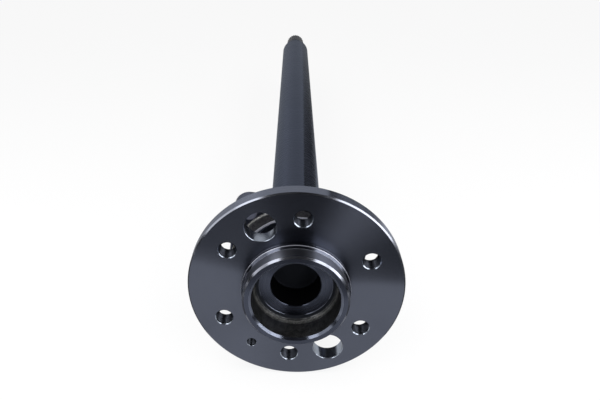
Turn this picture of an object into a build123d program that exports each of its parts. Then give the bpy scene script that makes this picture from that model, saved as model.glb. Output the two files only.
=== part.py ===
from build123d import *
import os
from math import acos, cos, floor, pi, radians, sin, sqrt, tan

# Rear axle half shaft: one forging with its wheel flange, turning in a sealed double-row
# ball bearing that sits in the carrier by which the whole thing is bolted to the axle housing.
# Millimetres. The shaft axis is Y, and Y = 0 is the face that the brake disc and wheel seat on.
# +Y runs along the shaft to the differential. Seen from the wheel, +X is right and +Z is up,
# and angles go from +X towards +Z.

# Wheel flange
flange_radius = 87.0
flange_thickness = 13.0
flange_edge_chamfer = 1.1

# Wheel bolts, six M14 x 1.5 threads cut to their core, countersunk at the mouth
wheel_bolt_circle_radius = 65.0
wheel_bolt_count = 6
wheel_bolt_first_angle = 25.0
wheel_bolt_core_radius = 6.25
wheel_bolt_countersink = 1.35

# Brake disc screw, one M8 thread cut to its core, on the wheel bolts' circle
disc_screw_angle = -125.0
disc_screw_core_radius = 3.4
disc_screw_countersink = 0.7

# Two access holes, through which a socket reaches the carrier's bolts
access_hole_radius = 12.5
access_hole_chamfer = 0.35
access_hole_first_angle = 115.0
access_hole_count = 2

# Centring spigots for the wheel and, one step larger, for the brake disc
wheel_spigot_radius = 42.0
wheel_spigot_height = 17.0
wheel_spigot_chamfer = 1.5
disc_spigot_step = 2.0
disc_spigot_height = 3.0

# Forged bowl inside the spigot, its turned floor, and the blind bore
bowl_wall = 6.75
bowl_mouth_chamfer = 1.75
bowl_draft = 1.0
bowl_corner_width = 4.1
bowl_corner_height = 1.9
bowl_corner_rounding = 6.0
bowl_floor_depth = 6.5
bowl_floor_edge = 0.35
blind_bore_radius = 20.5
blind_bore_depth = 25.5
blind_bore_chamfer = 0.5
blind_bore_rounding = 1.5

# Shaft, with its bearing seat, the shoulder that the bearing butts on, and the neck up to the flange
shaft_radius = 25.0
shaft_end_rounding = 4.0
seat_step = 2.5
neck_shoulder = 4.5
neck_length = 31.0
neck_root_rounding = 14.0
seat_relief = 0.4
seat_relief_width = 2.0

# Threaded length for the bearing nut, with the slot for the lock washer's tongue
thread_undersize = 0.1
thread_end_margin = 3.5
thread_chamfer = 1.2
thread_runout = 5.0
tongue_slot_width = 8.0
tongue_slot_depth = 2.6

# Splined end: involute, 30 degrees, shared proportions of a side-fit spline
spline_module = 1.25
spline_pressure_angle = 30.0
spline_reference_diameter = 35.0
spline_length = 46.0
spline_end_chamfer = 1.6
spline_neck_margin = 0.1
spline_neck_length = 42.0
spline_neck_rounding = 3.0
overall_length = 930.0

# Double-row angular contact ball bearing, sealed at both ends
ball_radius = 6.35
balls_per_row = 14
row_gap = 3.7
rolling_clearance = 0.08
race_wall = 2.82
bearing_edge_chamfer = 0.8
shoulder_drop = 3.25
middle_drop = 5.35
outer_land_rise = 3.25
outer_end_rise = 4.25

# Ball cages, one crown a row, moulded
cage_inner_gap = 0.8
cage_outer_gap = 0.7
cage_back_wall = 1.3
cage_side_gap = 0.35
cage_finger_reach = 2.6
cage_pocket_clearance = 0.15

# Bearing seals: a pressed slinger on the inner ring, a case with a rubber lip in the outer ring
seal_recess = 0.3
seal_sheet = 0.8
seal_length = 3.5
seal_running_gap = 0.1
slinger_rim_gap = 0.5
lip_body_height = 3.0
lip_tip_width = 0.7

# Bearing carrier, bolted to the axle housing
carrier_front_reach = 10.0
carrier_hub_wall = 10.4
carrier_hub_rise = 3.0
carrier_hub_fall = 0.8
carrier_hub_rounding = 2.2
carrier_land_width = 2.4
carrier_bolt_spacing = 90.0
carrier_bolt_hole_radius = 6.75
carrier_corner_radius = 12.5
carrier_corner_angle = 127.0
carrier_plate_thickness = 13.0
carrier_plate_rounding = 1.8
carrier_mouth_chamfer = 0.6
carrier_tail_wall = 4.0
carrier_tail_chamfer = 1.5
carrier_register_step = 1.5
carrier_register_length = 16.0
carrier_lip_height = 4.5
carrier_lip_width = 4.0

# Internal retaining ring in front of the bearing
ring_thickness = 3.0
ring_side_clearance = 0.1
ring_groove_depth = 1.75
ring_band = 4.2
ring_lug_radius = 3.2
ring_lug_hole_radius = 1.25
ring_lug_spread = 4.0
ring_gap_half_angle = 9.0
ring_gap_angle = -60.0

# Sealing ring on the register
o_ring_section_radius = 1.4
o_ring_squeeze = 0.3
o_ring_groove_width = 3.8
o_ring_groove_start = 2.0

# Speed-sensor ring behind the bearing
tone_ring_width = 8.0
tone_ring_hub_width = 2.5
tone_ring_lip_gap = 3.0
tone_ring_teeth = 48
tone_ring_tooth_depth = 2.6
tone_ring_slot_share = 0.5

# Lock washer
washer_thickness = 1.5
washer_rim_inset = 2.0
washer_tab_count = 19
washer_tab_length = 4.5
washer_tab_width = 5.0
washer_tab_lap = 1.0
washer_tongue_gap = 0.3
washer_bent_reach = 3.7

# Slotted nut
nut_radius = 37.5
nut_width = 11.0
nut_chamfer = 1.2
nut_slot_count = 4
nut_slot_width = 7.0
nut_slot_depth = 3.0

# Overshoot of a cutting shape past the face that it leaves
overshoot = 1.0

# Radii that follow from the sizes above
disc_spigot_radius = wheel_spigot_radius + disc_spigot_step
bowl_mouth_radius = wheel_spigot_radius - bowl_wall
bearing_bore_radius = shaft_radius + seat_step
neck_radius = bearing_bore_radius + neck_shoulder
thread_radius = bearing_bore_radius - thread_undersize
groove_radius = ball_radius + rolling_clearance
ball_pitch_radius = bearing_bore_radius + race_wall + groove_radius
bearing_outer_radius = ball_pitch_radius + groove_radius + race_wall
inner_shoulder_radius = ball_pitch_radius - shoulder_drop
inner_middle_radius = ball_pitch_radius - middle_drop
outer_land_radius = ball_pitch_radius + outer_land_rise
outer_end_radius = ball_pitch_radius + outer_end_rise
carrier_land_radius = bearing_outer_radius + carrier_land_width
carrier_hub_radius = bearing_outer_radius + carrier_hub_wall
carrier_tail_radius = bearing_outer_radius + carrier_tail_wall
carrier_register_radius = carrier_tail_radius + carrier_register_step
carrier_lip_radius = bearing_outer_radius - carrier_lip_height
carrier_bolt_circle_radius = carrier_bolt_spacing / sqrt(2)
tone_ring_radius = carrier_lip_radius - tone_ring_lip_gap
washer_radius = nut_radius - washer_rim_inset
spline_teeth = floor(spline_reference_diameter / spline_module - 1.1)
spline_tip_radius = spline_reference_diameter / 2 - 0.1 * spline_module
spline_root_radius = spline_reference_diameter / 2 - 1.1 * spline_module
spline_neck_radius = spline_root_radius - spline_neck_margin

# Places along the shaft that follow from them
row_offset = ball_radius + row_gap / 2
half_bearing = row_offset + ball_radius + cage_back_wall + cage_side_gap + seal_length + seal_recess
bearing_face = flange_thickness + neck_length
bearing_middle = bearing_face + half_bearing
bearing_end = bearing_middle + half_bearing
tone_ring_end = bearing_end + tone_ring_width
washer_end = tone_ring_end + washer_thickness
nut_end = washer_end + nut_width
thread_end = nut_end + thread_end_margin
carrier_face = bearing_face - carrier_front_reach
carrier_plate_front = carrier_face + carrier_hub_rise
carrier_plate_back = carrier_plate_front + carrier_plate_thickness
spline_start = overall_length - spline_length
shaft_end = spline_start - spline_neck_length


# Solid of revolution about the shaft axis; a corner is (radius, place along Y) or with a rounding
def turned(*corners):
    points = [(corner[0], corner[1]) for corner in corners]
    roundings = [corner[2] if len(corner) > 2 else 0 for corner in corners]
    outline = FilletPolyline(*points, radius=roundings, close=True)
    return revolve(make_face(outline), Axis.Y)


# Ring with a rectangular section
def sleeve(inner, outer, start, end):
    return turned((inner, start), (outer, start), (outer, end), (inner, end))


# Plain cylinder on the shaft axis
def rod(radius, start, end):
    return sleeve(0, radius, start, end)


# Torus on the shaft axis
def torus(ring_radius, section_radius, place):
    return revolve(Pos(ring_radius, place) * Circle(section_radius), Axis.Y)


# Copies of a shape turned about the shaft axis, the first at first_angle
def ring_of(shape, count, first_angle=0.0):
    return [Rot(0, -first_angle - 360 / count * i, 0) * shape for i in range(count)]


# Hole through the wheel flange at +X, with a 45-degree countersink in the wheel face
def flange_hole(radius, circle_radius, countersink):
    shape = turned(
        (0, -overshoot),
        (radius + countersink + overshoot, -overshoot),
        (radius, countersink),
        (radius, flange_thickness + overshoot),
        (0, flange_thickness + overshoot),
    )
    return Pos(circle_radius, 0, 0) * shape


# Space between two involute spline teeth, seen along the shaft
def spline_space(start, end):
    pitch_radius = spline_module * spline_teeth / 2
    base_radius = pitch_radius * cos(radians(spline_pressure_angle))
    shift = spline_reference_diameter / 2 - pitch_radius - 0.55 * spline_module
    tooth_width = spline_module * pi / 2 + 2 * shift * tan(radians(spline_pressure_angle))

    def half_space(radius):
        flank = acos(base_radius / radius)
        pitch = radians(spline_pressure_angle)
        tooth = tooth_width / (2 * pitch_radius) + tan(pitch) - pitch - tan(flank) + flank
        return pi / spline_teeth - tooth

    outside = spline_tip_radius + overshoot / 2
    levels = (spline_root_radius, (spline_root_radius + outside) / 2, outside)
    right = [(r * cos(half_space(r)), r * sin(half_space(r))) for r in levels]
    left = [(x, -z) for x, z in right]
    outline = [
        ThreePointArc(*right),
        Line(right[-1], left[-1]),
        ThreePointArc(*reversed(left)),
        Line(left[0], right[0]),
    ]
    across = Plane(origin=(0, start, 0), x_dir=(1, 0, 0), z_dir=(0, 1, 0))
    return extrude(across * make_face(outline), end - start)


# The forging: spigots, bowl and bore, flange, neck, bearing seat, thread, shaft and splines
def axle_shaft():
    rim_outer = wheel_spigot_radius - wheel_spigot_chamfer
    rim_inner = bowl_mouth_radius + bowl_mouth_chamfer
    bowl_corner_radius = bowl_mouth_radius - bowl_draft
    bowl_floor_radius = bowl_corner_radius - bowl_corner_width
    bore_floor = bowl_floor_depth + blind_bore_depth
    relief_end = bearing_face + seat_relief_width
    runout_end = thread_end + thread_runout
    body = turned(
        (0, bore_floor),
        (blind_bore_radius, bore_floor, blind_bore_rounding),
        (blind_bore_radius, bowl_floor_depth + blind_bore_chamfer),
        (blind_bore_radius + blind_bore_chamfer, bowl_floor_depth),
        (bowl_floor_radius - bowl_floor_edge, bowl_floor_depth),
        (bowl_floor_radius, bowl_floor_depth - bowl_floor_edge),
        (bowl_corner_radius, bowl_floor_depth - bowl_floor_edge - bowl_corner_height, bowl_corner_rounding),
        (bowl_mouth_radius, bowl_mouth_chamfer - wheel_spigot_height),
        (rim_inner, -wheel_spigot_height),
        (rim_outer, -wheel_spigot_height),
        (wheel_spigot_radius, wheel_spigot_chamfer - wheel_spigot_height),
        (wheel_spigot_radius, -disc_spigot_height - disc_spigot_step),
        (disc_spigot_radius, -disc_spigot_height),
        (disc_spigot_radius, 0),
        (flange_radius - flange_edge_chamfer, 0),
        (flange_radius, flange_edge_chamfer),
        (flange_radius, flange_thickness - flange_edge_chamfer),
        (flange_radius - flange_edge_chamfer, flange_thickness),
        (neck_radius, flange_thickness, neck_root_rounding),
        (neck_radius, bearing_face),
        (bearing_bore_radius - seat_relief, bearing_face),
        (bearing_bore_radius - seat_relief, relief_end),
        (bearing_bore_radius, relief_end + seat_relief),
        (bearing_bore_radius, tone_ring_end - thread_chamfer),
        (thread_radius, tone_ring_end - thread_chamfer),
        (thread_radius, thread_end - thread_chamfer),
        (thread_radius - thread_chamfer, thread_end),
        (shaft_radius, runout_end),
        (shaft_radius, shaft_end, shaft_end_rounding),
        (spline_neck_radius, shaft_end, spline_neck_rounding),
        (spline_neck_radius, spline_start),
        (spline_tip_radius, spline_start + spline_tip_radius - spline_neck_radius),
        (spline_tip_radius, overall_length - spline_end_chamfer),
        (spline_tip_radius - spline_end_chamfer, overall_length),
        (0, overall_length),
    )
    wheel_hole = flange_hole(wheel_bolt_core_radius, wheel_bolt_circle_radius, wheel_bolt_countersink)
    screw_hole = flange_hole(disc_screw_core_radius, wheel_bolt_circle_radius, disc_screw_countersink)
    access_hole = flange_hole(access_hole_radius, carrier_bolt_circle_radius, access_hole_chamfer)
    holes = ring_of(wheel_hole, wheel_bolt_count, wheel_bolt_first_angle)
    holes += ring_of(screw_hole, 1, disc_screw_angle)
    holes += ring_of(access_hole, access_hole_count, access_hole_first_angle)
    slot_floor = thread_radius - tongue_slot_depth
    slot = Pos(slot_floor, tone_ring_end, -tongue_slot_width / 2) * Box(
        2 * tongue_slot_depth, runout_end - tone_ring_end, tongue_slot_width, align=(Align.MIN, Align.MIN, Align.MIN)
    )
    spaces = ring_of(spline_space(spline_start - overshoot, overall_length + overshoot), spline_teeth)
    return body - holes - slot - spaces


# Raceways of both rows, as the balls' paths with their running clearance
def raceways():
    return [torus(ball_pitch_radius, groove_radius, bearing_middle + side * row_offset) for side in (-1, 1)]


# One-piece outer ring, its land between the rows and plain ends for the seals
def outer_ring():
    ring = turned(
        (outer_end_radius, bearing_face),
        (bearing_outer_radius - bearing_edge_chamfer, bearing_face),
        (bearing_outer_radius, bearing_face + bearing_edge_chamfer),
        (bearing_outer_radius, bearing_end - bearing_edge_chamfer),
        (bearing_outer_radius - bearing_edge_chamfer, bearing_end),
        (outer_end_radius, bearing_end),
        (outer_end_radius, bearing_middle + row_offset),
        (outer_land_radius, bearing_middle + row_offset),
        (outer_land_radius, bearing_middle - row_offset),
        (outer_end_radius, bearing_middle - row_offset),
    )
    return ring - raceways()


# Half inner ring from the outer face to the middle; side is -1 at the wheel and 1 at the shaft
def inner_ring(side):
    face = bearing_middle + side * half_bearing
    shoulder = bearing_middle + side * row_offset
    ring = turned(
        (bearing_bore_radius, face - side * bearing_edge_chamfer),
        (bearing_bore_radius + bearing_edge_chamfer, face),
        (inner_shoulder_radius, face),
        (inner_shoulder_radius, shoulder),
        (inner_middle_radius, shoulder),
        (inner_middle_radius, bearing_middle),
        (bearing_bore_radius, bearing_middle),
    )
    return ring - raceways()


# Ball number i of a row
def ball(side, i):
    centre = Pos(ball_pitch_radius, bearing_middle + side * row_offset, 0)
    return Rot(0, -360 / balls_per_row * i, 0) * centre * Sphere(ball_radius)


# Crown cage: a back wall towards the seal, with fingers that hold the balls apart
def cage(side):
    row = bearing_middle + side * row_offset
    back = row + side * (ball_radius + cage_back_wall)
    inner = inner_shoulder_radius + cage_inner_gap
    outer = outer_land_radius - cage_outer_gap
    crown = sleeve(inner, outer, back, row - side * cage_finger_reach)
    open_side = Plane(origin=(ball_pitch_radius, row, 0), x_dir=(0, -side, 0), z_dir=(1, 0, 0))
    pocket = open_side * Sphere(ball_radius + cage_pocket_clearance)
    return crown - ring_of(pocket, balls_per_row)


# Slinger: a sheet ring pressed on the inner ring, its flange closing the bearing's end
def seal_slinger(side):
    face = bearing_middle + side * (half_bearing - seal_recess)
    inner = inner_shoulder_radius
    return turned(
        (inner, face),
        (outer_end_radius - slinger_rim_gap, face),
        (outer_end_radius - slinger_rim_gap, face - side * seal_sheet),
        (inner + seal_sheet, face - side * seal_sheet),
        (inner + seal_sheet, face - side * seal_length),
        (inner, face - side * seal_length),
    )


# Seal case: a sheet ring pressed into the outer ring, its flange pointing inwards
def seal_case(side):
    deep = bearing_middle + side * (half_bearing - seal_recess - seal_length)
    open_end = deep + side * (seal_length - seal_sheet - slinger_rim_gap)
    flange_inner = outer_end_radius - lip_body_height
    return turned(
        (flange_inner, deep),
        (outer_end_radius, deep),
        (outer_end_radius, open_end),
        (outer_end_radius - seal_sheet, open_end),
        (outer_end_radius - seal_sheet, deep + side * seal_sheet),
        (flange_inner, deep + side * seal_sheet),
    )


# Rubber lip bonded to the case's flange, its edge running on the slinger's sleeve
def seal_lip(side):
    deep = bearing_middle + side * (half_bearing - seal_recess - seal_length)
    front = deep + side * (seal_length - seal_sheet - slinger_rim_gap)
    sleeve_radius = inner_shoulder_radius + seal_sheet + seal_running_gap
    root = outer_end_radius - lip_body_height
    return turned(
        (root, deep),
        (root, deep + side * seal_sheet),
        (outer_end_radius - seal_sheet, deep + side * seal_sheet),
        (outer_end_radius - seal_sheet, deep + side * 2 * seal_sheet),
        (root, deep + side * 2 * seal_sheet),
        (sleeve_radius + lip_tip_width, front),
        (sleeve_radius, front - side * lip_tip_width),
        (sleeve_radius + lip_tip_width, deep + side * seal_sheet),
        (sleeve_radius + lip_tip_width, deep),
    )


# Forged carrier: hub ring with a faced land, square bolting plate, register and bearing bore
def bearing_carrier():
    bore_lip = bearing_end + carrier_lip_width
    register_end = carrier_plate_back + carrier_register_length
    side_length = carrier_bolt_spacing + 2 * carrier_corner_radius
    across = Plane(origin=(0, carrier_plate_front, 0), x_dir=(1, 0, 0), z_dir=(0, 1, 0))
    plate = extrude(across * RectangleRounded(side_length, side_length, carrier_corner_radius), carrier_plate_thickness)
    plate = fillet(plate.edges().group_by(Axis.Y)[0], carrier_plate_rounding)
    plate = Rot(0, 45 - carrier_corner_angle, 0) * plate
    hub = turned(
        (0, carrier_face),
        (carrier_land_radius, carrier_face),
        (carrier_hub_radius, carrier_face + carrier_hub_fall, carrier_hub_rounding),
        (carrier_hub_radius, carrier_plate_front),
        (carrier_register_radius, carrier_plate_front),
        (carrier_register_radius, register_end - carrier_register_step),
        (carrier_tail_radius, register_end),
        (carrier_tail_radius, bore_lip - carrier_tail_chamfer),
        (carrier_tail_radius - carrier_tail_chamfer, bore_lip),
        (0, bore_lip),
    )
    groove_start = bearing_face - ring_thickness - 2 * ring_side_clearance
    groove_floor = bearing_outer_radius + ring_groove_depth
    bore = turned(
        (0, carrier_face - overshoot),
        (bearing_outer_radius + carrier_mouth_chamfer + overshoot, carrier_face - overshoot),
        (bearing_outer_radius, carrier_face + carrier_mouth_chamfer),
        (bearing_outer_radius, groove_start),
        (groove_floor, groove_start),
        (groove_floor, bearing_face),
        (bearing_outer_radius, bearing_face),
        (bearing_outer_radius, bearing_end),
        (carrier_lip_radius, bearing_end),
        (carrier_lip_radius, bore_lip + overshoot),
        (0, bore_lip + overshoot),
    )
    o_ring_start = carrier_plate_back + o_ring_groove_start
    o_ring_groove = sleeve(
        carrier_register_radius + o_ring_squeeze - 2 * o_ring_section_radius,
        carrier_register_radius + overshoot,
        o_ring_start,
        o_ring_start + o_ring_groove_width,
    )
    bolt_hole = rod(carrier_bolt_hole_radius, carrier_face - overshoot, carrier_plate_back + overshoot)
    bolt_holes = ring_of(Pos(carrier_bolt_circle_radius, 0, 0) * bolt_hole, 4, carrier_corner_angle)
    return plate + hub - bore - o_ring_groove - bolt_holes


# Internal retaining ring: an open ring with two lugs for the pliers
def retaining_ring():
    start = bearing_face - ring_thickness - ring_side_clearance
    end = bearing_face - ring_side_clearance
    outer = bearing_outer_radius + ring_groove_depth - ring_side_clearance
    inner = outer - ring_band
    gap_edge = 2 * outer * tan(radians(ring_gap_half_angle))
    across = Plane(origin=(0, start, 0), x_dir=(1, 0, 0), z_dir=(0, 1, 0))
    gap = across * make_face(Polyline((0, 0), (2 * outer, gap_edge), (2 * outer, -gap_edge), close=True))
    ring = sleeve(inner, outer, start, end) - extrude(gap, ring_thickness)
    lug_circle = inner - ring_lug_radius / 3
    for turn in (ring_gap_half_angle + ring_lug_spread, -ring_gap_half_angle - ring_lug_spread):
        place = Rot(0, turn, 0) * Pos(lug_circle, 0, 0)
        ring = ring + place * rod(ring_lug_radius, start, end) - place * rod(ring_lug_hole_radius, start, end)
    return Rot(0, -ring_gap_angle, 0) * ring


# Rubber ring in the register's groove
def register_o_ring():
    middle = carrier_plate_back + o_ring_groove_start + o_ring_groove_width / 2
    ring_radius = carrier_register_radius + o_ring_squeeze - o_ring_section_radius
    return torus(ring_radius, o_ring_section_radius, middle)


# Toothed ring that the wheel-speed sensor reads
def tone_ring():
    teeth_start = bearing_end + tone_ring_hub_width
    blank = turned(
        (bearing_bore_radius, bearing_end),
        (inner_shoulder_radius, bearing_end),
        (inner_shoulder_radius, teeth_start),
        (tone_ring_radius, teeth_start),
        (tone_ring_radius, tone_ring_end),
        (bearing_bore_radius, tone_ring_end),
    )
    slot_floor = tone_ring_radius - tone_ring_tooth_depth
    width = 2 * pi * tone_ring_radius / tone_ring_teeth * tone_ring_slot_share
    slot = Pos(slot_floor, teeth_start - overshoot, 0) * Box(
        2 * tone_ring_tooth_depth, tone_ring_width, width, align=(Align.MIN, Align.MIN, Align.CENTER)
    )
    return blank - ring_of(slot, tone_ring_teeth)


# Lock washer: its tongue sits in the shaft's slot, and one of its tabs is bent into the nut
def lock_washer():
    disc = sleeve(thread_radius, washer_radius, tone_ring_end, washer_end)
    tab = Pos(washer_radius - washer_tab_lap, tone_ring_end, 0) * Box(
        washer_tab_length + washer_tab_lap,
        washer_thickness,
        washer_tab_width,
        align=(Align.MIN, Align.MIN, Align.CENTER),
    )
    tongue_floor = thread_radius - tongue_slot_depth + washer_tongue_gap
    tongue = Pos(tongue_floor, tone_ring_end, 0) * Box(
        tongue_slot_depth + washer_tab_lap,
        washer_thickness,
        tongue_slot_width - 2 * washer_tongue_gap,
        align=(Align.MIN, Align.MIN, Align.CENTER),
    )
    bent = Pos(nut_radius - nut_slot_depth, tone_ring_end, 0) * Box(
        washer_thickness,
        washer_thickness + washer_bent_reach,
        washer_tab_width,
        align=(Align.MIN, Align.MIN, Align.CENTER),
    )
    flat_tabs = ring_of(tab, washer_tab_count)[1:]
    return disc + flat_tabs + tongue + bent


# Slotted nut that clamps the inner rings and the sensor ring against the neck
def slotted_nut():
    blank = turned(
        (thread_radius, washer_end),
        (nut_radius - nut_chamfer, washer_end),
        (nut_radius, washer_end + nut_chamfer),
        (nut_radius, nut_end - nut_chamfer),
        (nut_radius - nut_chamfer, nut_end),
        (thread_radius, nut_end),
    )
    slot = Pos(nut_radius - nut_slot_depth, washer_end, 0) * Box(
        2 * nut_slot_depth, nut_width, nut_slot_width, align=(Align.MIN, Align.MIN, Align.CENTER)
    )
    return blank - ring_of(slot, nut_slot_count)


nodes = {
    "axle_shaft": axle_shaft(),
    "bearing_carrier": bearing_carrier(),
    "bearing_outer_ring": outer_ring(),
    "retaining_ring": retaining_ring(),
    "register_o_ring": register_o_ring(),
    "tone_ring": tone_ring(),
    "lock_washer": lock_washer(),
    "slotted_nut": slotted_nut(),
}
for end_name, end_side in (("outboard", -1), ("inboard", 1)):
    nodes[f"inner_ring_{end_name}"] = inner_ring(end_side)
    nodes[f"seal_slinger_{end_name}"] = seal_slinger(end_side)
    nodes[f"seal_case_{end_name}"] = seal_case(end_side)
    nodes[f"seal_lip_{end_name}"] = seal_lip(end_side)
    nodes[f"ball_cage_{end_name}"] = cage(end_side)
    for number in range(balls_per_row):
        nodes[f"ball_{end_name}_{number + 1:02d}"] = ball(end_side, number)

os.makedirs("parts", exist_ok=True)
for node_name, shape in nodes.items():
    export_step(shape, f"parts/{node_name}.step")
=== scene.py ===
import bpy
import bmesh
from math import acos, cos, pi, radians, sin, sqrt, tan
from mathutils import Matrix, Vector


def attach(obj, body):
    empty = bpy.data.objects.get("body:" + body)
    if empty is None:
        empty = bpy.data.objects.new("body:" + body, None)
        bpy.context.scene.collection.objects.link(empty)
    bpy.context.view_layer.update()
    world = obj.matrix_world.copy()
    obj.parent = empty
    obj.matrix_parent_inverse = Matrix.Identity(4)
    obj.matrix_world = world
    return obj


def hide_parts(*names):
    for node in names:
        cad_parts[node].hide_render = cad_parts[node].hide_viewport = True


# Rear axle half shaft with its wheel flange, bearing and bearing carrier.
# Metres; the shaft lies along +Y from the wheel face at Y = 0, and +Z is up.
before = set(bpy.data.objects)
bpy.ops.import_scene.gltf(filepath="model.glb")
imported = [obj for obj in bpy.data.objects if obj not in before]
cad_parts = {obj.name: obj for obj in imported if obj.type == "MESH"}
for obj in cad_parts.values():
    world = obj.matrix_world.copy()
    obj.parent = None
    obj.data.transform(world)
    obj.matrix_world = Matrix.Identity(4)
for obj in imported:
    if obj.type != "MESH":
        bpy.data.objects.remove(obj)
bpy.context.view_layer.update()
mm = 0.001
print("frame loaded:", len(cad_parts), "nodes")


# camera: stands in front of the wheel flange and a little above, as the photographer did

viewpoint = {
    "place": (-0.000677, -0.385613, 0.276361),
    "turn": (63.1441, 0.958, 1.8912),
    "lens": 35.147,
    "sensor": 36,
    "shiftRight": 0.04446,
    "nearest": 0.01,
    "farthest": 50,
}


def placeCamera(settings):
    data = bpy.data.cameras.new("camera")
    data.lens = settings["lens"]
    data.sensor_width = settings["sensor"]
    data.shift_x = settings["shiftRight"]
    data.clip_start = settings["nearest"]
    data.clip_end = settings["farthest"]
    camera = bpy.data.objects.new("camera", data)
    camera.location = settings["place"]
    camera.rotation_euler = [radians(angle) for angle in settings["turn"]]
    bpy.context.scene.collection.objects.link(camera)
    bpy.context.scene.camera = camera


placeCamera(viewpoint)
print("camera placed")


# materials

# sRGB hex colour as the renderer's linear red, green, blue and a full alpha
def linear(hexColour):
    channels = [int(hexColour[i:i + 2], 16) / 255 for i in (1, 3, 5)]
    return [c / 12.92 if c <= 0.04045 else ((c + 0.055) / 1.055) ** 2.4 for c in channels] + [1]


def addNode(tree, kind, settings=None, values=None, links=None):
    node = tree.nodes.new(kind)
    for name, value in (settings or {}).items():
        setattr(node, name, value)
    for socket, value in (values or {}).items():
        node.inputs[socket].default_value = value
    for socket, source in (links or {}).items():
        tree.links.new(source, node.inputs[socket])
    return node


# node tree of a new material or world, emptied
def emptyTree(owner):
    owner.use_nodes = True
    owner.node_tree.nodes.clear()
    return owner.node_tree


def startMaterial(name, shaderValues):
    material = bpy.data.materials.new(name)
    tree = emptyTree(material)
    shader = addNode(tree, "ShaderNodeBsdfPrincipled", values=shaderValues)
    addNode(tree, "ShaderNodeOutputMaterial", links={"Surface": shader.outputs[0]})
    place = addNode(tree, "ShaderNodeTexCoord").outputs["Object"]
    return material, tree, shader, place


# two hex colours blended by a 0 to 1 value; a Mix node's colours are its inputs 6 and 7 and its output 2
def blendColours(tree, share, first, second):
    node = addNode(tree, "ShaderNodeMix", {"data_type": "RGBA"}, links={"Factor": share})
    node.inputs[6].default_value = linear(first)
    node.inputs[7].default_value = linear(second)
    return node.outputs[2]


# a value that runs from start to end, stretched to run from low to high
def stretch(tree, value, low, high, start=0.0, end=1.0):
    values = {"From Min": start, "From Max": end, "To Min": low, "To Max": high}
    return addNode(tree, "ShaderNodeMapRange", values=values, links={"Value": value}).outputs[0]


# noise with features of the given size in millimetres
def addNoise(tree, vector, size, detail, roughness=0.5):
    values = {"Scale": 1 / (size * mm), "Detail": detail, "Roughness": roughness}
    return addNode(tree, "ShaderNodeTexNoise", values=values, links={"Vector": vector}).outputs[0]


# what all finishes of a kind share: how fine their noise is, how far it spreads the roughness,
# and how high its bumps are in millimetres
turnedSurface = {
    "ringDetail": 3.0, "feedDetail": 2.0, "cloudDetail": 4.0, "cloudShare": 0.6, "feedShare": 0.4,
    "roughnessSpread": 0.03, "bumpHeight": 0.02,
}
scaledSurface = {
    "grainDetail": 3.0, "grainRoughness": 0.65, "grainRange": (0.35, 0.7), "cloudDetail": 3.0,
    "cloudRange": (0.3, 0.6), "cloudLow": 0.4, "roughnessSpread": -0.08, "bumpHeight": 0.12,
}
mouldedSurface = {"skinDetail": 2.0, "skinDepth": 0.3, "roughnessSpread": 0.06, "bumpHeight": 0.03}
# most of the noise lies between these values
noiseRange = (0.3, 0.7)


# colour from a 0 to 1 share, roughness and bumps from one noise
def dressShader(tree, shader, look, surface, share, noise, depth):
    colour = blendColours(tree, share, look["dark"], look["light"])
    low = look["roughness"] - surface["roughnessSpread"]
    high = look["roughness"] + surface["roughnessSpread"]
    rough = stretch(tree, noise, low, high, *noiseRange)
    bump = addNode(
        tree, "ShaderNodeBump", values={"Strength": depth, "Distance": surface["bumpHeight"] * mm},
        links={"Height": noise},
    )
    tree.links.new(colour, shader.inputs["Base Color"])
    tree.links.new(rough, shader.inputs["Roughness"])
    tree.links.new(bump.outputs[0], shader.inputs["Normal"])


# lathe-turned steel: fine rings round the axis, so reflections smear across them
def turnedSteel(name, look):
    shaderValues = {
        "Metallic": 1.0, "Anisotropic": look["smear"], "Anisotropic Rotation": 0.25,
        "Specular Tint": linear(look["edgeTint"]),
    }
    material, tree, shader, place = startMaterial(name, shaderValues)
    across = addNode(tree, "ShaderNodeVectorMath", {"operation": "MULTIPLY"}, {1: (1, 0, 1)}, {0: place})
    radius = addNode(tree, "ShaderNodeVectorMath", {"operation": "LENGTH"}, links={0: across.outputs[0]})
    along = addNode(tree, "ShaderNodeSeparateXYZ", links={0: place})
    track = addNode(
        tree, "ShaderNodeCombineXYZ", links={0: radius.outputs["Value"], 1: along.outputs[1]},
    ).outputs[0]
    rings = addNoise(tree, track, look["ringSpacing"], turnedSurface["ringDetail"])
    feed = addNoise(tree, track, look["feedBand"], turnedSurface["feedDetail"])
    cloud = addNoise(tree, place, look["cloudSize"], turnedSurface["cloudDetail"])
    share = addNode(
        tree, "ShaderNodeMath", {"operation": "MULTIPLY_ADD"}, {1: turnedSurface["cloudShare"]},
        {0: cloud, 2: stretch(tree, feed, 0.0, turnedSurface["feedShare"])},
    )
    dressShader(tree, shader, look, turnedSurface, share.outputs[0], rings, look["ringDepth"])
    grooves = addNode(
        tree, "ShaderNodeVectorMath", {"operation": "CROSS_PRODUCT"}, {0: (0, 1, 0)}, {1: place},
    )
    turned = addNode(
        tree, "ShaderNodeVectorTransform",
        {"vector_type": "VECTOR", "convert_from": "OBJECT", "convert_to": "WORLD"},
        links={0: grooves.outputs[0]},
    )
    tree.links.new(turned.outputs[0], shader.inputs["Tangent"])
    return material


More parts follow.
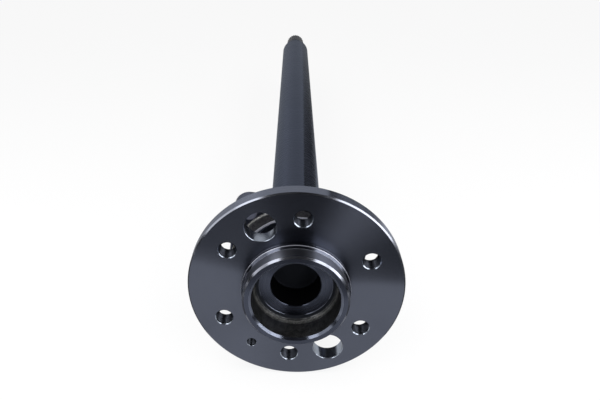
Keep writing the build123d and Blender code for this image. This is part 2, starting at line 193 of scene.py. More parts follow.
# steel without rings, as the forge, the furnace, a cutter or a grinder left it: cloudy, with a fine grain
def scaledSteel(name, look):
    shaderValues = {"Metallic": look["metallic"], "Specular Tint": linear(look["edgeTint"])}
    material, tree, shader, place = startMaterial(name, shaderValues)
    grain = addNoise(
        tree, place, look["grain"], scaledSurface["grainDetail"], scaledSurface["grainRoughness"],
    )
    cloud = addNoise(tree, place, look["cloudSize"], scaledSurface["cloudDetail"])
    share = addNode(tree, "ShaderNodeMath", {"operation": "MULTIPLY"}, links={
        0: stretch(tree, grain, 0, 1, *scaledSurface["grainRange"]),
        1: stretch(tree, cloud, scaledSurface["cloudLow"], 1, *scaledSurface["cloudRange"]),
    })
    dressShader(tree, shader, look, scaledSurface, share.outputs[0], grain, look["grainDepth"])
    return material


# rubber or moulded plastic: faint mould texture under a soft sheen
def mouldedSkin(name, look):
    material, tree, shader, place = startMaterial(name, {"Metallic": 0.0, "IOR": look["ior"]})
    skin = addNoise(tree, place, look["grain"], mouldedSurface["skinDetail"])
    dressShader(tree, shader, look, mouldedSurface, skin, skin, mouldedSurface["skinDepth"])
    return material


# ring spacings, feed bands, grains and cloud sizes are in millimetres
finishes = {
    # satin grey: the whole face was turned, so light smears out from the centre like a fan
    "faceSteel": turnedSteel("turned_flange_steel", {
        "dark": "#50545f", "light": "#585c68", "edgeTint": "#d0d0d0", "roughness": 0.24, "smear": 1.0,
        "ringSpacing": 0.3, "feedBand": 2.2, "cloudSize": 26, "ringDepth": 0.05,
    }),
    # the same cut, painted darker as shade on the long shaft, the boss's end face, the bowl's floor and the
    # bore's edge, with faint rings across it
    "shadedTurnedSteel": turnedSteel("shaded_turned_steel", {
        "dark": "#3d414c", "light": "#484c59", "edgeTint": "#c2c6cc", "roughness": 0.26, "smear": 1.0,
        "ringSpacing": 1.4, "feedBand": 5.0, "cloudSize": 60, "ringDepth": 0.03,
    }),
    # ground seat of the bearing on the shaft, so it looks brighter and smoother
    "seatSteel": turnedSteel("ground_seat_steel", {
        "dark": "#a9acb8", "light": "#b4b7c3", "edgeTint": "#e0e0e0", "roughness": 0.2, "smear": 0.9,
        "ringSpacing": 0.2, "feedBand": 1.5, "cloudSize": 20, "ringDepth": 0.1,
    }),
    # the wheel's spigot and the back of the flange: a duller cut, so the spigot darkens the face beside it;
    # paler than the face, as painted light
    "litTurnedSteel": turnedSteel("lit_turned_steel", {
        "dark": "#7d808b", "light": "#8b8e99", "edgeTint": "#d0d0d0", "roughness": 0.31, "smear": 0.9,
        "ringSpacing": 0.25, "feedBand": 1.5, "cloudSize": 20, "ringDepth": 0.06,
    }),
    # chamfers of the spigot and the flange: a paler copy of the cut steel, painted highlight
    "highlightEdgeSteel": turnedSteel("highlight_edge_steel", {
        "dark": "#7e818b", "light": "#8e919b", "edgeTint": "#d8d8d8", "roughness": 0.22, "smear": 0.7,
        "ringSpacing": 0.2, "feedBand": 1.0, "cloudSize": 15, "ringDepth": 0.1,
    }),
    # the bowl's black forge scale, shot-blasted to a dry sparkle
    "forgeScale": scaledSteel("forged_steel_scale", {
        "dark": "#161718", "light": "#6c6d6f", "edgeTint": "#b0b0b0", "metallic": 0.8, "roughness": 0.34,
        "grain": 0.8, "cloudSize": 6, "grainDepth": 1.4,
    }),
    # roundings of the forgings: a paler ring of sparkle, painted highlight
    "highlightForgeCrest": scaledSteel("highlight_forge_scale", {
        "dark": "#363738", "light": "#a8a8a6", "edgeTint": "#d0d0d0", "metallic": 0.8, "roughness": 0.4,
        "grain": 0.8, "cloudSize": 6, "grainDepth": 1.4,
    }),
    # the carrier's milled body: even grey, no rings
    "milledSteel": scaledSteel("milled_carrier_steel", {
        "dark": "#5a5d6a", "light": "#6c6f7d", "edgeTint": "#a8a8a8", "metallic": 1.0, "roughness": 0.36,
        "grain": 0.6, "cloudSize": 14, "grainDepth": 0.2,
    }),
    # the blind bore and the edge of the bowl's floor: smooth blue-black, painted shade
    "shadedBoreScale": scaledSteel("shaded_bore_scale", {
        "dark": "#1f2126", "light": "#292c32", "edgeTint": "#606060", "metallic": 0.7, "roughness": 0.75,
        "grain": 0.8, "cloudSize": 12, "grainDepth": 0.15,
    }),
    # wall of the bore: nearly black, painted shade
    "boreShade": scaledSteel("shaded_bore_wall", {
        "dark": "#0a0b0d", "light": "#101114", "edgeTint": "#505050", "metallic": 0.7, "roughness": 0.75,
        "grain": 0.8, "cloudSize": 12, "grainDepth": 0.15,
    }),
    # drilled holes and their mouths: bright, with fine score marks; the brightness is painted light on the
    # walls and a painted highlight on the mouths
    "litDrilledSteel": scaledSteel("lit_drilled_steel", {
        "dark": "#868d99", "light": "#a2a9b5", "edgeTint": "#d0d0d0", "metallic": 1.0, "roughness": 0.22,
        "grain": 0.5, "cloudSize": 5, "grainDepth": 0.15,
    }),
    # tapped holes and their threads: painted nearly black, as shade in their turns
    "shadedTappedSteel": scaledSteel("shaded_thread_steel", {
        "dark": "#25272c", "light": "#43464e", "edgeTint": "#808080", "metallic": 1.0, "roughness": 0.32,
        "grain": 0.5, "cloudSize": 4, "grainDepth": 0.2,
    }),
    # the carrier's forged front: bare grey skin, dry enough to catch light in the gap
    "forgeSkin": scaledSteel("forged_steel_skin", {
        "dark": "#323236", "light": "#7c7c80", "edgeTint": "#c0c0c0", "metallic": 0.4, "roughness": 0.36,
        "grain": 0.9, "cloudSize": 7, "grainDepth": 0.8,
    }),
    # the land milled round the carrier's mouth: satin, painted nearly white as a highlight, a thin bright
    # line in the gap
    "highlightLandSteel": scaledSteel("highlight_land_steel", {
        "dark": "#e4e6f2", "light": "#f6f8ff", "edgeTint": "#f0f0f0", "metallic": 0.0, "roughness": 0.4,
        "grain": 0.6, "cloudSize": 10, "grainDepth": 0.1,
    }),
    # small broken edges round each step: a thin pale line, painted highlight
    "highlightLineSteel": scaledSteel("highlight_line_steel", {
        "dark": "#8f919c", "light": "#a7a9b4", "edgeTint": "#d8d8d8", "metallic": 0.7, "roughness": 0.35,
        "grain": 0.5, "cloudSize": 10, "grainDepth": 0.1,
    }),
    # rim of the flange and mouth of the bowl: the face's cut, a little paler, as painted light
    "litRimSteel": turnedSteel("lit_rim_steel", {
        "dark": "#656a78", "light": "#6f7482", "edgeTint": "#d0d0d0", "roughness": 0.25, "smear": 1.0,
        "ringSpacing": 0.3, "feedBand": 2.2, "cloudSize": 26, "ringDepth": 0.05,
    }),
    # teeth hardened by induction: blue-grey
    "toothSteel": scaledSteel("hardened_tooth_steel", {
        "dark": "#33353d", "light": "#4a4d57", "edgeTint": "#c4c4c4", "metallic": 1.0, "roughness": 0.34,
        "grain": 0.7, "cloudSize": 10, "grainDepth": 0.15,
    }),
    # ground rings of the bearing and their seat in the carrier: bright and smooth
    "bearingSteel": turnedSteel("ground_bearing_steel", {
        "dark": "#cfd1d8", "light": "#dcdee4", "edgeTint": "#f0f0f0", "roughness": 0.18, "smear": 0.6,
        "ringSpacing": 0.15, "feedBand": 1.0, "cloudSize": 20, "ringDepth": 0.08,
    }),
    # sheet pressed and spun for the seals: a plain grey, hardly smeared
    "sheetSteel": turnedSteel("pressed_sheet_steel", {
        "dark": "#74767c", "light": "#85878d", "edgeTint": "#d0d0d0", "roughness": 0.3, "smear": 0.2,
        "ringSpacing": 0.5, "feedBand": 2.0, "cloudSize": 12, "ringDepth": 0.1,
    }),
    # the sensor ring, pressed from powder: dry, dull and finely pitted
    "sinteredSteel": scaledSteel("sintered_steel", {
        "dark": "#505155", "light": "#6c6d72", "edgeTint": "#a0a0a0", "metallic": 0.9, "roughness": 0.45,
        "grain": 0.3, "cloudSize": 6, "grainDepth": 0.4,
    }),
    # black phosphate under oil: the nut, its washer and the retaining ring stay dark
    "phosphateSteel": scaledSteel("black_phosphate_steel", {
        "dark": "#121314", "light": "#222426", "edgeTint": "#909090", "metallic": 0.6, "roughness": 0.42,
        "grain": 0.35, "cloudSize": 7, "grainDepth": 0.3,
    }),
    # black rubber of the seals, matt and soft
    "sealRubber": mouldedSkin("nitrile_seal_rubber", {
        "dark": "#101011", "light": "#1b1b1d", "roughness": 0.5, "grain": 0.6, "ior": 1.52,
    }),
    # brown-black plastic of the ball cages
    "cagePlastic": mouldedSkin("glass_filled_polyamide", {
        "dark": "#1f1d1a", "light": "#2e2b27", "roughness": 0.55, "grain": 0.8, "ior": 1.53,
    }),
    # balls lapped to a mirror
    "ballSteel": scaledSteel("polished_ball_steel", {
        "dark": "#a3a5aa", "light": "#b2b4b9", "edgeTint": "#f0f0f0", "metallic": 1.0, "roughness": 0.16,
        "grain": 3, "cloudSize": 6, "grainDepth": 0.02,
    }),
}
print("materials made:", len(finishes))


# mesh helpers

# points nearer than this are joined: in a spun shape, and in a copy of the frame's own shape
seamWeld = 0.002 * mm
copyWeld = 0.001 * mm


# wire profile of (radius, place along Y, rounding) corners in millimetres
def drawProfile(bm, corners, arcSteps):
    points = [Vector((corner[0], corner[1], 0)) for corner in corners]
    verts = [bm.verts.new(point * mm) for point in points]
    for pair in zip(verts, verts[1:]):
        bm.edges.new(pair)
    for i, corner in enumerate(corners):
        if len(corner) > 2:
            turn = (points[i] - points[i - 1]).angle(points[i + 1] - points[i])
            bmesh.ops.bevel(
                bm, geom=[verts[i]], offset=corner[2] * tan(turn / 2) * mm, offset_type="OFFSET",
                segments=arcSteps, profile=0.5, affect="VERTICES", material=-1,
            )


# closed solid of revolution about the shaft axis
def spinProfile(bm, corners, steps, arcSteps=8):
    drawn = bmesh.new()
    drawProfile(drawn, corners, arcSteps)
    bmesh.ops.spin(
        drawn, geom=drawn.verts[:] + drawn.edges[:], cent=(0, 0, 0), axis=(0, 1, 0), dvec=(0, 0, 0),
        angle=2 * pi, steps=steps, use_merge=True, use_normal_flip=False, use_duplicate=False,
    )
    bmesh.ops.remove_doubles(drawn, verts=drawn.verts[:], dist=seamWeld)
    bmesh.ops.recalc_face_normals(drawn, faces=drawn.faces[:])
    addMesh(bm, drawn)


# puts a finished part mesh into a piece's mesh
def addMesh(bm, part):
    mesh = bpy.data.meshes.new("part")
    part.to_mesh(mesh)
    part.free()
    bm.from_mesh(mesh)
    bpy.data.meshes.remove(mesh)


# copies what is in a mesh round the shaft axis, the first at firstAngle
def spreadRound(bm, part, count, firstAngle):
    for i in range(count):
        copy = part.copy()
        turn = Matrix.Rotation(radians(-firstAngle - 360 / count * i), 3, "Y")
        bmesh.ops.rotate(copy, verts=copy.verts[:], cent=(0, 0, 0), matrix=turn)
        addMesh(bm, copy)
    part.free()


def makeObject(name, bm, materials):
    mesh = bpy.data.meshes.new(name)
    bm.to_mesh(mesh)
    bm.free()
    for material in materials:
        mesh.materials.append(material)
    thing = bpy.data.objects.new(name, mesh)
    bpy.context.scene.collection.objects.link(thing)
    return thing


def makePiece(name, bm, finishNames):
    return makeObject(name, bm, [finishes[finish] for finish in finishNames])


# cuts a closed tool mesh out of a closed piece; the cut takes the tool's finish
def carve(piece, tool):
    modifier = piece.modifiers.new("carve", "BOOLEAN")
    modifier.object = tool
    modifier.operation = "DIFFERENCE"
    modifier.solver = "EXACT"
    modifier.material_mode = "TRANSFER"
    carved = bpy.data.meshes.new_from_object(piece.evaluated_get(bpy.context.evaluated_depsgraph_get()))
    piece.modifiers.clear()
    rough = piece.data
    piece.data = carved
    bpy.data.meshes.remove(rough)
    used = tool.data
    bpy.data.objects.remove(tool)
    bpy.data.meshes.remove(used)


# corners sharper than this many degrees stay crisp
edgeAngles = {"shaft": 30, "threads": 40, "copies": 25}


# flat faces stay flat beside a rounding
def smooth(piece, edgeAngle):
    piece.data.shade_smooth()
    piece.data.set_sharp_from_angle(angle=radians(edgeAngle))
    modifier = piece.modifiers.new("weightedNormals", "WEIGHTED_NORMAL")
    modifier.keep_sharp = True


# gives each face the finish of the last zone that holds its centre; a zone is a finish, its inner
# and outer radius, and its first and last place along the shaft, in millimetres
def paintZones(piece, zones):
    slots = {material.name: i for i, material in enumerate(piece.data.materials)}
    for polygon in piece.data.polygons:
        x, y, z = polygon.center / mm
        radius = sqrt(x * x + z * z)
        for finish, inner, outer, start, end in zones:
            if inner <= radius <= outer and start <= y <= end:
                polygon.material_index = slots[finishes[finish].name]


# axle shaft

shaft = {
    "steps": 192,
    "finishes": [
        "faceSteel", "shadedTurnedSteel", "litRimSteel", "seatSteel", "litTurnedSteel", "highlightEdgeSteel", "highlightLineSteel",
        "forgeScale", "highlightForgeCrest", "shadedBoreScale", "boreShade", "toothSteel",
    ],
    # corners of the half section, from the blind bore round the flange to the splined end
    "outline": [
        (0, 32), (20.5, 32, 1.5), (20.5, 7.0), (21.0, 6.5), (29.75, 6.5), (30.15, 6.15), (34.25, 4.25, 6.0),
        (35.25, -15.25), (37.0, -17.0), (40.5, -17.0), (42.0, -15.5), (42.0, -5.1), (42.1, -4.9),
        (43.65, -3.35), (44.0, -2.8), (44.0, 0.0, 0.35), (85.9, 0.0), (87.0, 1.1), (87.0, 11.9),
        (85.9, 13.0), (32.0, 13.0, 14.0), (32.0, 44.0), (27.1, 44.0), (27.1, 46.0), (27.5, 46.4),
        (27.5, 90.8), (26.3, 92.0), (26.3, 108.0), (25.0, 113.0), (25.0, 842.0, 4.0), (16.0, 842.0, 3.0),
        (16.0, 884.0), (17.375, 885.375), (17.375, 928.4), (15.775, 930.0), (0, 930.0),
    ],
    "zones": [
        # whole flange and boss, then the spigot's steps, the rim, the bowl, the boss's end and the chamfers
        ("faceSteel", 0, 90, -18, 14),
        # painted light on the spigot's wall
        ("litTurnedSteel", 41.9, 42.01, -15.4, -5.25),
        # painted highlight: pale lines on the spigot's steps
        ("highlightLineSteel", 42.01, 42.09, -5.05, -4.95),
        ("highlightLineSteel", 43.7, 43.95, -3.3, -2.85),
        # painted light on the flange's rim
        ("litRimSteel", 86.9, 87.1, 1.2, 11.8),
        ("forgeScale", 29.9, 35.2, -15.2, 6.4),
        # painted shade on the inner part of the bowl's rounding, so its highlight lies further out
        ("shadedBoreScale", 30.15, 32.2, 4.0, 6.4),
        # painted highlight on the outer part of the bowl's rounding
        ("highlightForgeCrest", 33.2, 34.45, 0.6, 4.4),
        # painted light on the bowl's mouth
        ("litRimSteel", 35.2, 36.99, -16.99, -15.2),
        # painted shade on the boss's end face
        ("shadedTurnedSteel", 36.99, 40.51, -17.1, -16.9),
        # painted highlight on the boss's and the flange's chamfers
        ("highlightEdgeSteel", 40.51, 41.99, -16.99, -15.5),
        ("highlightEdgeSteel", 85.9, 87, -0.5, 1.09),
        # everything behind the flange, then the bore, the bowl's floor, the flange's back, seat and spline
        # painted shade: the shaft behind the flange in the darker turned steel
        ("shadedTurnedSteel", 0, 90, 13.01, 950),
        # painted shade in the blind bore
        ("shadedBoreScale", 0, 21.2, 6.6, 33),
        ("boreShade", 20.4, 20.51, 6.6, 31),
        # painted shade on the bowl's floor
        ("shadedTurnedSteel", 21, 29.76, 6.4, 6.6),
        ("faceSteel", 29.76, 30.14, 6.16, 6.49),
        # painted shade on the bore's chamfer
        ("shadedTurnedSteel", 20.51, 20.99, 6.51, 6.99),
        # painted light on the flange's back
        ("litTurnedSteel", 47, 86, 12.9, 13.1),
        ("seatSteel", 26.9, 28, 44, 92),
        ("toothSteel", 0, 18, 884.1, 931),
    ],
    # first is the angle of the first hole from +X towards +Z; circle is the radius that the centres lie on
    # the tapped holes' walls are painted nearly black as shade
    "wheelHoles": {
        "count": 6, "first": 25, "circle": 65, "wall": 7.0, "mouth": 7.6, "finish": "shadedTappedSteel",
    },
    "screwHole": {
        "count": 1, "first": -125, "circle": 65, "wall": 4.0, "mouth": 4.2, "finish": "shadedTappedSteel",
    },
    # painted light on the walls of the access holes
    "accessHoles": {
        "count": 2, "first": 115, "circle": 63.64, "wall": 12.5, "mouth": 12.85, "finish": "litDrilledSteel",
    },
    # reaches this far before and behind the wheel face, and its zone paints the mouth of a hole with a
    # painted highlight
    "drill": {
        "steps": 72, "front": 1, "back": 14, "finish": "litDrilledSteel",
        "zones": [("litDrilledSteel", 0, 90, -1.1, 0.3)],
    },
    "keyway": {"width": 8, "floor": 24.8, "height": 8, "start": 92, "end": 113, "finish": "toothSteel"},
    # head and root are parts of the module; the flank is drawn at these distances above the root
    "spline": {
        "module": 1.25, "teeth": 26, "reference": 35, "pressureAngle": 30, "head": 0.55, "root": 1.1,
        "flank": (0, 0.45, 0.9, 1.8), "start": 883, "end": 931,
    },
}


# drill with a 45 degree mouth, standing at its circle on +X
def holeTool(hole, drill):
    bm = bmesh.new()
    front = drill["front"]
    back = drill["back"]
    mouthDepth = hole["mouth"] - hole["wall"]
    spinProfile(bm, [
        (0, -front), (hole["mouth"] + front, -front), (hole["wall"], mouthDepth), (hole["wall"], back),
        (0, back),
    ], drill["steps"])
    bmesh.ops.translate(bm, verts=bm.verts[:], vec=(hole["circle"] * mm, 0, 0))
    return bm


# space between two involute teeth, at +X
def toothSpaceTool(spline):
    pitch = spline["module"] * spline["teeth"] / 2
    alpha = radians(spline["pressureAngle"])
    base = pitch * cos(alpha)
    shift = spline["reference"] / 2 - pitch - spline["head"] * spline["module"]
    tooth = (spline["module"] * pi / 2 + 2 * shift * tan(alpha)) / (2 * pitch)
    root = spline["reference"] / 2 - spline["root"] * spline["module"]
    bm = bmesh.new()
    right = []
    for step in spline["flank"]:
        radius = root + step
        flank = acos(base / radius)
        half = pi / spline["teeth"] - tooth - tan(alpha) + alpha + tan(flank) - flank
        right.append((radius * cos(half), radius * sin(half)))
    outline = right + [(x, -z) for x, z in reversed(right)]
    face = bm.faces.new([bm.verts.new((x * mm, spline["start"] * mm, z * mm)) for x, z in outline])
    grown = bmesh.ops.extrude_face_region(bm, geom=[face])
    tips = [item for item in grown["geom"] if isinstance(item, bmesh.types.BMVert)]
    bmesh.ops.translate(bm, verts=tips, vec=(0, (spline["end"] - spline["start"]) * mm, 0))
    bmesh.ops.recalc_face_normals(bm, faces=bm.faces[:])
    return bm


def keywayTool(keyway):
    bm = bmesh.new()
    bmesh.ops.create_cube(bm, size=1)
    size = (keyway["height"], keyway["end"] - keyway["start"], keyway["width"])
    bmesh.ops.scale(bm, verts=bm.verts[:], vec=[value * mm for value in size])
    middle = (keyway["floor"] + keyway["height"] / 2, (keyway["start"] + keyway["end"]) / 2, 0)
    bmesh.ops.translate(bm, verts=bm.verts[:], vec=[value * mm for value in middle])
    return bm


def buildShaft(settings):
    bm = bmesh.new()
    spinProfile(bm, settings["outline"], settings["steps"])
    piece = makePiece("axleShaft", bm, settings["finishes"])
    paintZones(piece, settings["zones"])
    drill = settings["drill"]
    for name in ("wheelHoles", "screwHole", "accessHoles"):
        hole = settings[name]
        drills = bmesh.new()
        spreadRound(drills, holeTool(hole, drill), hole["count"], hole["first"])
        tool = makePiece("drills", drills, [hole["finish"], drill["finish"]])
        paintZones(tool, drill["zones"])
        carve(piece, tool)
    spline = settings["spline"]
    keyway = settings["keyway"]
    cutters = bmesh.new()
    spreadRound(cutters, toothSpaceTool(spline), spline["teeth"], 0)
    addMesh(cutters, keywayTool(keyway))
    carve(piece, makePiece("cutters", cutters, [keyway["finish"]]))
    smooth(piece, edgeAngles["shaft"])
    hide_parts("axle_shaft")
    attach(piece, "shaft")


buildShaft(shaft)
print("axle shaft built")


# threads

# a ridge's foot fills this share of the pitch, and this many crests fill the whole pitch
ridge = {"foot": 0.94, "crests": 7}
# radii of wall and crest, pitch, first and last place along the shaft and distance of the hole's centre in
# millimetres; first is an angle in degrees, and steps are those of one turn
threads = {
    # the tapped threads are painted nearly black as shade
    "wheelBoltThreads": {
        "wall": 7.03, "crest": 6.27, "pitch": 1.5, "start": 0.5, "end": 12.8, "offset": 65, "count": 6,
        "first": 25, "steps": 36, "finish": "shadedTappedSteel",
    },
    "discScrewThread": {
        "wall": 4.03, "crest": 3.42, "pitch": 1.25, "start": 0.3, "end": 12.8, "offset": 65, "count": 1,
        "first": -125, "steps": 30, "finish": "shadedTappedSteel",
    },
    # the nut's thread takes the shaft's darker turned steel, painted shade
    "bearingNutThread": {
        "wall": 26.27, "crest": 27.38, "pitch": 2, "start": 92.2, "end": 107.8, "offset": 0, "count": 1,
        "first": 0, "steps": 96, "finish": "shadedTurnedSteel",
    },
}


# thread ridge on a wall of the given radius, wound about Y through the axis and moved out to its hole
def threadRidge(thread):
    bm = bmesh.new()
    steps = thread["steps"]
    half = thread["pitch"] / 2
    foot = half * ridge["foot"]
    crest = half / ridge["crests"]
    section = [
        (thread["wall"], -foot), (thread["crest"], -crest), (thread["crest"], crest), (thread["wall"], foot),
    ]
    verts = [bm.verts.new(Vector((r, y + thread["start"] + half, 0)) * mm) for r, y in section]
    first = bm.faces.new(verts)
    turns = (thread["end"] - thread["start"] - thread["pitch"]) / thread["pitch"]
    count = round(turns * steps)
    bmesh.ops.spin(
        bm, geom=[first], cent=(0, 0, 0), axis=(0, 1, 0), dvec=(0, thread["pitch"] * mm / steps, 0),
        angle=2 * pi * count / steps, steps=count, use_merge=False, use_normal_flip=False,
        use_duplicate=False,
    )
    bmesh.ops.recalc_face_normals(bm, faces=bm.faces[:])
    bmesh.ops.translate(bm, verts=bm.verts[:], vec=(thread["offset"] * mm, 0, 0))
    return bm


def buildThreads(settings):
    for name, thread in settings.items():
        bm = bmesh.new()
        spreadRound(bm, threadRidge(thread), thread["count"], thread["first"])
        piece = makePiece(name, bm, [thread["finish"]])
        smooth(piece, edgeAngles["threads"])
        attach(piece, "shaft")


buildThreads(threads)
print("threads wound")


# pieces behind the flange: smoothed from the frame's own shapes

# node: name of the piece, body it moves with, slot of the record, finish
behind = {
    "bearing_carrier": ("bearingCarrier", "carrier", "forged_carrier", "milledSteel"),
    "bearing_outer_ring": ("bearingOuterRing", "carrier", "bearing_steel", "bearingSteel"),
    "inner_ring_outboard": ("innerRingOutboard", "shaft", "bearing_steel", "bearingSteel"),
    "inner_ring_inboard": ("innerRingInboard", "shaft", "bearing_steel", "bearingSteel"),
    "retaining_ring": ("retainingRing", "carrier", "phosphated_steel", "phosphateSteel"),
    "register_o_ring": ("registerRing", "carrier", "black_rubber", "sealRubber"),
    "tone_ring": ("toneRing", "shaft", "sintered_steel", "sinteredSteel"),
    "lock_washer": ("lockWasher", "shaft", "phosphated_steel", "phosphateSteel"),
    "slotted_nut": ("slottedNut", "shaft", "phosphated_steel", "phosphateSteel"),
}
ballsPerRow = 14
for end in ("outboard", "inboard"):
    title = end.title()
    behind["seal_slinger_" + end] = ("sealSlinger" + title, "shaft", "sheet_steel", "sheetSteel")
    behind["seal_case_" + end] = ("sealCase" + title, "carrier", "sheet_steel", "sheetSteel")
    behind["seal_lip_" + end] = ("sealLip" + title, "carrier", "black_rubber", "sealRubber")
    behind["ball_cage_" + end] = ("ballCage" + title, end + "_cage", "cage_plastic", "cagePlastic")
    for number in range(1, ballsPerRow + 1):
        node = f"ball_{end}_{number:02d}"
        behind[node] = (f"ball{title}{number:02d}", end + "_cage", "ball_steel", "ballSteel")


# the register's band at the carrier's tail, its forged front with the ring's rounding, the land, the bore
carrierZones = [
    ("faceSteel", 49, 51.6, 50.05, 65.95),
    ("forgeSkin", 48.4, 56.5, 33.9, 36.99),
    # painted highlight on the ring's rounding
    ("highlightForgeCrest", 54.3, 56.5, 34.6, 36.99),
    # painted highlight on the land round the carrier's mouth
    ("highlightLandSteel", 45.9, 48.41, 33.9, 34.7),
    ("bearingSteel", 40, 46.1, 34.7, 87.9),
]
carrierFinishes = ("forgeSkin", "highlightForgeCrest", "highlightLandSteel", "faceSteel", "bearingSteel")


def smoothedCopy(node, name, body, slot, finish):
    bm = bmesh.new()
    bm.from_mesh(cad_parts[node].data)
    bmesh.ops.remove_doubles(bm, verts=bm.verts[:], dist=copyWeld)
    piece = makePiece(name, bm, [finish])
    for polygon in piece.data.polygons:
        polygon.material_index = 0
    smooth(piece, edgeAngles["copies"])
    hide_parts(node)
    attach(piece, body)
    return piece


for node, settings in behind.items():
    piece = smoothedCopy(node, *settings)
    if node == "bearing_carrier":
        for finish in carrierFinishes:
            piece.data.materials.append(finishes[finish])
        paintZones(piece, carrierZones)
print("bearing and carrier finished:", len(behind), "pieces")


# studio

# metres and degrees; cameraWhite is how far the floor turns plain white where the camera or a mirror sees it,
# and fill is how strongly the white surroundings light the object
studio = {
    "floorSize": (16, 16),
    "floorHeight": -0.0873,
    "floorColour": "#f6f6f7",
    "cameraWhite": 0.85,
    "fill": 0.6,
    "lamps": {
        "rightOverhead": {
            "place": (0.75, -0.6, 0.75), "aim": (0.75, -0.6, 0), "size": (0.7, 1.6), "power": 11,
        },
        "leftOverhead": {
            "place": (-0.53, -0.6, 0.75), "aim": (-0.53, -0.6, 0), "size": (0.72, 1.6), "power": 9,
        },
        "rightPanel": {
            "place": (0.55, -0.85, 0.13), "aim": (0, 0, 0.13), "size": (0.45, 0.42), "power": 2.1,
        },
    },
    # what the metal mirrors: the grey table before the white paper with darker strips at its sides,
    # the dark stand and ceiling at the lens, black flags and gaps, and glowing panels at both sides
    "cards": {
        "greyTable": {
            "colour": "#808184", "place": (0.521, -1.517, -0.0868), "turn": (0, 0, 12.6), "size": (4, 2.876),
        },
        "tableShade": {
            "colour": "#5a5b5e", "place": (0.302, -0.195, -0.0867), "turn": (0, 0, 12.6), "size": (0.45, 0.2),
        },
        "darkStand": {
            "colour": "#464649", "place": (0.01, -0.4, 0.117), "turn": (90, 0, 0), "size": (0.31, 0.41),
        },
        "standFoot": {
            "colour": "#464649", "place": (0.005, -0.28, -0.0864), "turn": (0, 0, 0), "size": (0.15, 0.24),
        },
        "darkCeiling": {
            "colour": "#303032", "place": (0.05, -0.62, 0.74), "turn": (0, 0, 0), "size": (0.9, 1.86),
        },
        "rightFlag": {
            "colour": "#101011", "place": (0.26, 0.68, 0.143), "turn": (90, 17.7, 90), "size": (0.94, 0.46),
        },
        "sideTable": {
            "colour": "#606164", "place": (0.19, 0.025, -0.0866), "turn": (0, 0, 0), "size": (0.19, 0.11),
        },
        "rightGap": {
            "colour": "#101011", "place": (0.62, -0.04, -0.0866), "turn": (0, 0, 0), "size": (0.67, 0.16),
        },
        "leftTable": {
            "colour": "#606164", "place": (-0.45, 0.02, -0.0866), "turn": (0, 0, 0), "size": (0.71, 0.11),
        },
        "leftStrip": {
            "colour": "#606164", "place": (-0.6, -0.075, -0.0866), "turn": (0, 0, 0), "size": (0.7, 0.09),
        },
        "leftGap": {
            "colour": "#101011", "place": (-0.95, -0.25, 0.03), "turn": (90, 0, 90), "size": (0.7, 0.25),
        },
        "leftGlow": {
            "colour": "#ffffff", "strength": 2.2, "place": (-0.95, -0.25, 0.45), "turn": (90, 0, 90),
            "size": (0.28, 0.6),
        },
        "sideGlow": {
            "colour": "#ffffff", "strength": 4, "place": (0.6, 0.4, 0.02), "turn": (90, 0, 60),
            "size": (0.3, 0.2),
        },
        "rightGlow": {
            "colour": "#ffffff", "strength": 5.5, "place": (0.95, -0.27, 0.42), "turn": (90, 0, 90),
            "size": (0.42, 0.72),
        },
    },
}


# flat rectangle of the given width and depth about the origin, grown from a unit square
def drawRectangle(size):
    bm = bmesh.new()
    bmesh.ops.create_grid(bm, x_segments=1, y_segments=1, size=0.5)
    bmesh.ops.scale(bm, verts=bm.verts[:], vec=(*size, 1))
    return bm


# 1 where the camera or a mirror looks, 0 where light falls
def seenShare(tree):
    rays = addNode(tree, "ShaderNodeLightPath")
    seen = rays.outputs["Is Camera Ray"]
    for kind in ("Is Glossy Ray", "Is Transmission Ray"):
        seen = addNode(
            tree, "ShaderNodeMath", {"operation": "ADD", "use_clamp": True},
            links={0: seen, 1: rays.outputs[kind]},
        ).outputs[0]
    return seen


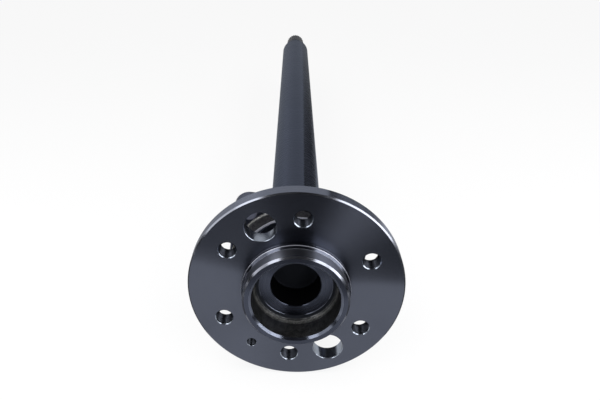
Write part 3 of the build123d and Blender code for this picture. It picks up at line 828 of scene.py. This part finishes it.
def floorMaterial(settings):
    material = bpy.data.materials.new("pale_floor")
    tree = emptyTree(material)
    paint = addNode(tree, "ShaderNodeBsdfDiffuse", values={"Color": linear(settings["floorColour"])})
    white = addNode(tree, "ShaderNodeEmission", values={"Color": (1, 1, 1, 1), "Strength": 1.0})
    share = stretch(tree, seenShare(tree), 0, settings["cameraWhite"])
    mixed = addNode(tree, "ShaderNodeMixShader", links={0: share, 1: paint.outputs[0], 2: white.outputs[0]})
    addNode(tree, "ShaderNodeOutputMaterial", links={"Surface": mixed.outputs[0]})
    return material


def buildFloor(settings):
    bm = drawRectangle(settings["floorSize"])
    bmesh.ops.translate(bm, verts=bm.verts[:], vec=(0, 0, settings["floorHeight"]))
    floor = makeObject("floor", bm, [floorMaterial(settings)])


def buildLamps(lamps):
    for name, lamp in lamps.items():
        data = bpy.data.lights.new(name, "AREA")
        data.shape = "RECTANGLE"
        data.size, data.size_y = lamp["size"]
        data.energy = lamp["power"]
        light = bpy.data.objects.new(name, data)
        light.location = lamp["place"]
        way = Vector(lamp["aim"]) - Vector(lamp["place"])
        light.rotation_euler = way.to_track_quat("-Z", "Y").to_euler()
        bpy.context.scene.collection.objects.link(light)


def cardMaterial(name, card):
    material = bpy.data.materials.new(name)
    tree = emptyTree(material)
    light = {"Color": linear(card["colour"]), "Strength": card.get("strength", 1)}
    glow = addNode(tree, "ShaderNodeEmission", values=light)
    addNode(tree, "ShaderNodeOutputMaterial", links={"Surface": glow.outputs[0]})
    return material


# cards that only the metal sees, each of an even shade
def buildCards(cards):
    for name, card in cards.items():
        thing = makeObject(name, drawRectangle(card["size"]), [cardMaterial(name, card)])
        thing.location = card["place"]
        thing.rotation_euler = [radians(angle) for angle in card["turn"]]
        for ray in ("camera", "diffuse", "transmission", "volume_scatter", "shadow"):
            setattr(thing, "visible_" + ray, False)


def lightWorld(settings):
    world = bpy.data.worlds.new("studio")
    tree = emptyTree(world)
    strength = stretch(tree, seenShare(tree), settings["fill"], 1.0)
    light = addNode(
        tree, "ShaderNodeBackground", values={"Color": (1, 1, 1, 1)}, links={"Strength": strength},
    )
    addNode(tree, "ShaderNodeOutputWorld", links={"Surface": light.outputs[0]})
    bpy.context.scene.world = world


buildFloor(studio)
buildLamps(studio["lamps"])
buildCards(studio["cards"])
lightWorld(studio)
bpy.context.scene.view_settings.view_transform = "Standard"
print("studio lit")
